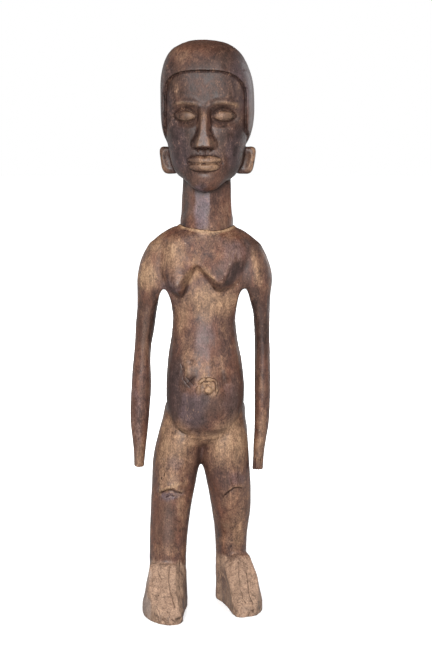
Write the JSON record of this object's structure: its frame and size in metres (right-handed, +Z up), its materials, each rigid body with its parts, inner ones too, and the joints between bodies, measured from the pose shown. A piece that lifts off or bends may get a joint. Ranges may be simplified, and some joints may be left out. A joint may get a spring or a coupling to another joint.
{
  "type": "standing ancestor figure",
  "caption": "Carved wooden standing woman: capped hair, low ears, long neck, straight hanging arms, peaked breasts, rounded belly, and wedge feet with scored toes.",
  "frame": {"origin": "middle of the bounding box at the level of the soles", "axes": "+Z up, -Y the way the face and toes point, +X to the viewer's right"},
  "size_m": [0.1552, 0.1466, 0.62],
  "materials": {
    "figure": "dark brown patinated carved wood with a soft sheen, worn to ochre and tan on edges, inner arms, thighs and feet"
  },
  "bodies": {
    "root": {"figure": "figure"}
  },
  "joints": []
}
